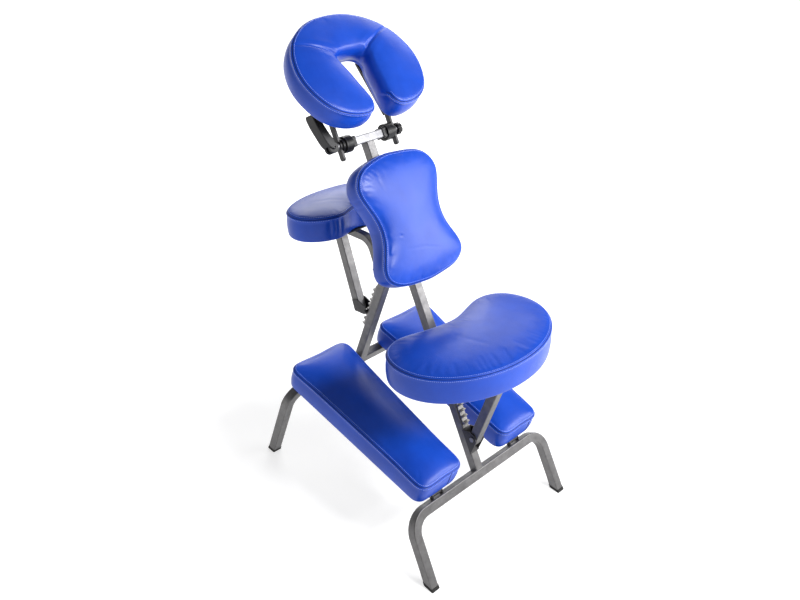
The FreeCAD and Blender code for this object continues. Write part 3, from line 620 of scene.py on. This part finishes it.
def creases(verts, lines):
    """Presses soft valleys into the top. Each line is (points, width, depth, tail), in metres and in the
    pad's own axes. A tail is the share of the depth left at the far end of a valley that starts at full
    depth and reaches down the wall. A valley whose tail is None fades at both ends and stays on the top."""
    for points, width, depth, tail in lines:
        best, along = nearest_on_path(verts[:, :2], np.array(points, float))
        if tail is None:
            fade = np.sin(np.pi * np.clip(along * 0.9 + 0.05, 0, 1)) ** 0.7
            top = np.clip((verts[:, 2] + 0.004) / 0.006, 0, 1)
        else:
            fade = tail + (1 - tail) * (1 - along) ** 2
            top = np.clip((verts[:, 2] + 0.030) / 0.020, 0, 1)
        verts[:, 2] -= depth * np.exp(-(best / width) ** 2) * fade * top
        shoulder = np.exp(-((best - 2.0 * width) / width) ** 2)
        verts[:, 2] += SHOULDER_SHARE * depth * shoulder * fade * top


def dents(verts, loop, thickness, marks):
    """Presses upright folds into the side wall. Each mark is (place, width, depth), in metres and in the
    pad's own axes."""
    inner = inward(loop)
    for place, width, depth in marks:
        index = nearest_point(loop, place)
        gap = np.linalg.norm(verts[:, :2] - loop[index], axis=1)
        share = np.clip(-verts[:, 2] / thickness, 0, 1)
        upright = np.sin(np.pi * np.clip(share * 1.05, 0, 1))
        push = depth * np.exp(-(gap / width) ** 2) * upright
        verts[:, :2] += inner[index] * push[:, None]


# The profile of one stitch: (place along it, thickness), as shares of its length and thickness.
STITCH = [(-0.5, 0.35), (-0.3, 0.95), (0.3, 0.95), (0.5, 0.35)]
STITCH_SIDES = 5
STITCH_ARCH = 0.00025
STEP_AHEAD = 0.001
# Sizes of the dark cords that paint the shadow in the seam's groove and in the upright wall joins.
SEAM_SHADOW_SIZE = {"pitch": 0.0030, "long": 0.0034, "thick": 0.00062}
JOIN_SHADOW_SIZE = {"pitch": 0.0030, "long": 0.0034, "thick": 0.0010}


def stitch_verts(middle, forward, normal, long, thick):
    """The vertices of one stitch lying along forward on a surface with that normal."""
    side = normal.cross(forward)
    verts = []
    for reach, share in STITCH:
        arch = STITCH_ARCH * (1 - (2 * reach) ** 2)
        centre = middle + forward * (reach * long) + normal * arch
        for s in range(STITCH_SIDES):
            angle = 2 * math.pi * s / STITCH_SIDES
            sideways = side * (math.cos(angle) * thick * share)
            upwards = normal * (math.sin(angle) * thick * share)
            verts.append(centre + sideways + upwards)
    return verts


def stitch_faces(base):
    """The faces of one stitch whose vertices start at that index."""
    faces = []
    last = base + (len(STITCH) - 1) * STITCH_SIDES
    for ring in range(base, last, STITCH_SIDES):
        for s in range(STITCH_SIDES):
            t = (s + 1) % STITCH_SIDES
            faces.append((ring + s, ring + t, ring + STITCH_SIDES + t, ring + STITCH_SIDES + s))
    faces.append(tuple(base + s for s in reversed(range(STITCH_SIDES))))
    faces.append(tuple(last + s for s in range(STITCH_SIDES)))
    return faces


def stitches(name, piece, loop, keep, material=THREAD, pitch=0.0044, long=0.0031, thick=0.00058):
    """A row of thread stitches laid on the piece's surface along a loop of points, where keep is true."""
    mesh = piece.data
    tree = BVHTree.FromPolygons([v.co for v in mesh.vertices], [p.vertices for p in mesh.polygons])
    closed, walked = walk(loop)
    count = int(walked[-1] / pitch)
    verts = []
    faces = []
    for k in range(count):
        place = (k + 0.5) * walked[-1] / count
        index = min(int(np.searchsorted(walked, place)) - 1, len(loop) - 1)
        if not keep[index]:
            continue
        point = Vector(points_at(place, closed, walked))
        ahead = Vector(points_at(min(place + STEP_AHEAD, walked[-1]), closed, walked))
        middle, normal, _, _ = tree.find_nearest(point)
        forward = (ahead - point).normalized()
        forward = (forward - normal * forward.dot(normal)).normalized()
        faces += stitch_faces(len(verts))
        verts += stitch_verts(middle, forward, normal, long, thick)
    return make_object(name, verts, faces, material)


def held_shares(rings, count, rolled):
    """How firmly the rings are held in the cloth simulation. The wall is free, a rolled edge is loosely
    held and the rest is fixed."""
    shares = []
    for ring in range(rings):
        if ring < len(UNDER):
            shares.append(np.ones(count))
        elif ring < len(UNDER) + WALL_STEPS:
            shares.append(np.zeros(count))
        else:
            shares.append(1.0 - 0.75 * rolled)
    return np.concatenate(shares)


def pull_between_corners(loop, depth):
    """How far the sides are pulled in, in millimetres: nothing at the corners, the full depth between."""
    least_turn = 0.35
    corner_reach = 0.06
    corners = loop[np.abs(turning(loop, 4)) > least_turn]
    gap = distances(loop, corners).min(axis=1)
    return depth * (1 - np.exp(-(gap / corner_reach) ** 2))


def sew(node, piece, side, rolled, loop, wall_joins):
    """The dark cord painted as the shadow in the seam, the stitching on each side of it, and painted shadow
    cords with stitching in the upright joins of the wall at those places.
    """
    sewing = []
    # The seam's row is a dark cord: painted shadow in its groove.
    for label, ring, limit, material, size in (("stitching", SEAM_RING - 3, 0.25, THREAD, {}),
                                               ("top_stitching", SEAM_RING + 4, 0.25, THREAD, {}),
                                               ("seam", SEAM_RING, 0.6, PAINTED_SHADOW_CORD, SEAM_SHADOW_SIZE)):
        name = node.replace("cushion", label)
        sewing.append(stitches(name, piece, side[ring], rolled < limit, material, **size))
    # Each wall join gets a dark cord as its painted shadow, with a row of stitching beside it.
    for number, place in enumerate(wall_joins):
        index = nearest_point(loop, place)
        for label, step, material, size in (("join", 0, PAINTED_SHADOW_CORD, JOIN_SHADOW_SIZE),
                                            ("join_stitching", 1, THREAD, {})):
            column = side[len(UNDER):SEAM_RING - 1, (index + step) % len(loop)]
            keep = np.arange(len(column)) < len(column) - 1
            name = node.replace("cushion", label) + "_" + str(number)
            sewing.append(stitches(name, piece, column, keep, material, **size))
    return sewing


def pad(node, body, facing, crown, bulge=2.0, pull_in=0.0, rolled_part=None, cap=0.004, steep=0.62,
        crease_lines=(), wall_marks=(), wall_joins=()):
    """The vinyl cushion that stands for a CAD pad, with its seam, stitching, creases and the dark cords
    that paint the shadow in its seam and wall joins. The crown, the bulge and the pull_in are in
    millimetres, and the other lengths are in metres."""
    centre, axes, outline, thickness = pad_face(node, facing)
    loop = even_loop(outline)
    pull = pull_between_corners(loop, pull_in) if pull_in else np.zeros(len(loop))
    rolled = rolled_part(loop) if rolled_part else np.zeros(len(loop))
    verts, faces, count, rings = cushion_mesh(loop, thickness, crown, bulge, pull, rolled, steep)
    piece = make_object(node.replace("_cushion", "_pad"), verts, faces, VINYL)
    held = np.zeros(len(verts))
    held[:rings * count] = held_shares(rings, count, rolled)
    inflate(piece, held, cap)
    side = positions(piece.data)[:rings * count].reshape(rings, count, 3)
    apply_subdivision(piece)
    fine = positions(piece.data)
    creases(fine, crease_lines)
    dents(fine, loop, thickness, wall_marks)
    set_positions(piece.data, fine)
    sewing = sew(node, piece, side, rolled, loop, wall_joins)
    into_place = Matrix([list(axes[i]) + [centre[i]] for i in range(3)] + [[0, 0, 0, 1]])
    for item in [piece] + sewing:
        item.data.transform(into_place)
        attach(item, body)
    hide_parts(node)


# ---------------------------------------------------------------- the six cushions
def face_hole(loop):
    """1 round the face opening of the head pad, where the vinyl rolls over with no seam, else 0."""
    x = np.abs(loop[:, 0])
    y = loop[:, 1]
    half_width = 0.062
    upper_end = 0.095
    lower_end = -0.105
    within_sides = np.clip((half_width - x) / 0.012, 0, 1)
    under_top = np.clip((upper_end - y) / 0.012, 0, 1)
    over_tips = np.clip((y - lower_end) / 0.020, 0, 1)
    return within_sides * under_top * over_tips


# Each crease is (points, width, depth, tail) and each wall mark is (place, width, depth).
pad("seat_cushion", "seat", (0, 0, 1), crown=14.5,
    crease_lines=[
        ([(-0.060, 0.030), (-0.050, -0.010), (-0.035, -0.050)], 0.007, 0.0005, None),
        ([(0.010, 0.085), (0.025, 0.060)], 0.006, 0.0009, None),
        ([(-0.020, 0.082), (-0.022, 0.055)], 0.006, 0.0008, None),
    ])
pad("chest_cushion", "chest_pad", (0, -0.83, 0.56), crown=15.0,
    crease_lines=[
        ([(-0.066, 0.142), (-0.072, 0.107), (-0.062, 0.055)], 0.004, 0.0003, None),
        ([(-0.050, 0.135), (-0.052, 0.100)], 0.004, 0.0002, None),
        ([(-0.058, -0.070), (0.000, -0.080), (0.049, -0.098)], 0.003, 0.00025, None),
        ([(-0.064, -0.032), (-0.060, -0.036)], 0.003, 0.0007, None),
    ],
    wall_marks=[
        ((-0.125, 0.075), 0.004, 0.0016),
        ((-0.117, 0.060), 0.004, 0.0012),
        ((-0.080, -0.010), 0.005, 0.0014),
    ])
pad("arm_rest_cushion", "arm_rest", (0, 0, 1), crown=7.0,
    crease_lines=[
        ([(-0.075, 0.010), (-0.040, -0.005), (-0.010, -0.030)], 0.006, 0.0004, None),
    ],
    wall_marks=[
        ((-0.100, -0.075), 0.006, 0.0030),
        ((-0.084, -0.075), 0.004, 0.0018),
        ((-0.070, -0.075), 0.006, 0.0028),
    ])

# A mitre runs out from each inner corner of the face opening: a broad valley with a sharp one in it.
MITRE = [(0.036, 0.018), (0.062, 0.038), (0.112, 0.062), (0.158, 0.080)]
mitres = []
for way in (-1, 1):
    line = [(way * x, y) for x, y in MITRE]
    mitres.append((line, 0.0090, 0.0055, 0.08))
    mitres.append((line, 0.0032, 0.0055, 0.14))
pad("face_cushion", "face_cradle", (0, -0.5, 0.8), crown=8.0, bulge=4.0, cap=0.005, steep=0.9,
    rolled_part=face_hole, crease_lines=mitres)

# The side wall of a shin pad is joined by an upright seam near one corner.
WALL_JOIN = (0.032, -0.243)
for hand in ("left", "right"):
    pad(hand + "_shin_cushion", hand + "_shin_pad", (0, 0, 1), crown=14.5, pull_in=3.0,
        wall_joins=[WALL_JOIN], wall_marks=[(WALL_JOIN, 0.0045, 0.0018)])


# ---------------------------------------------------------------- floor and light
def floor():
    """A wide pale floor that glows to white away from the object, so that only its shadow shows."""
    mesh = bpy.data.meshes.new("floor")
    reach = 30.0
    corners = [(-reach, -reach, 0), (reach, -reach, 0), (reach, reach, 0), (-reach, reach, 0)]
    mesh.from_pydata(corners, [], [(0, 1, 2, 3)])
    piece = bpy.data.objects.new("floor", mesh)
    bpy.context.scene.collection.objects.link(piece)
    material, tree, shader = new_material("floor", (0.58, 0.58, 0.58), 0.8)
    shader.inputs["Emission Color"].default_value = (1, 1, 1, 1)
    distance = tree.nodes.new("ShaderNodeVectorMath")
    distance.operation = "LENGTH"
    tree.links.new(place_texture(tree), distance.inputs[0])
    glow = span(tree, distance.outputs["Value"], 0.65, 1.0, 0.7, 2.2)
    tree.links.new(glow, shader.inputs["Emission Strength"])
    set_material(piece, material)


def area_light(name, place, target, size, power):
    """A square white light of that size, turned to the target."""
    data = bpy.data.lights.new(name, "AREA")
    data.shape = "SQUARE"
    data.size = size
    data.energy = power
    light = bpy.data.objects.new(name, data)
    light.location = place
    way = Vector(target) - Vector(place)
    light.rotation_euler = way.to_track_quat("-Z", "Y").to_euler()
    bpy.context.scene.collection.objects.link(light)


def studio_world():
    """A faint even white light from all round."""
    world = bpy.data.worlds.new("studio")
    world.use_nodes = True
    background = world.node_tree.nodes["Background"]
    background.inputs["Color"].default_value = (1, 1, 1, 1)
    background.inputs["Strength"].default_value = 0.25
    bpy.context.scene.world = world


floor()
area_light("key", (1.28, -3.9, 4.7), (0, 0, 0.6), 1.5, 268)
area_light("side", (2.1, -1.95, 1.8), (0, 0, 0.7), 1.8, 88)
area_light("right", (2.0, 1.2, 2.1), (0, 0, 0.6), 1.2, 12)
area_light("back", (1.6, 2.4, 1.7), (0, 0, 0.6), 1.5, 30)
studio_world()
bpy.context.scene.view_settings.view_transform = "Standard"
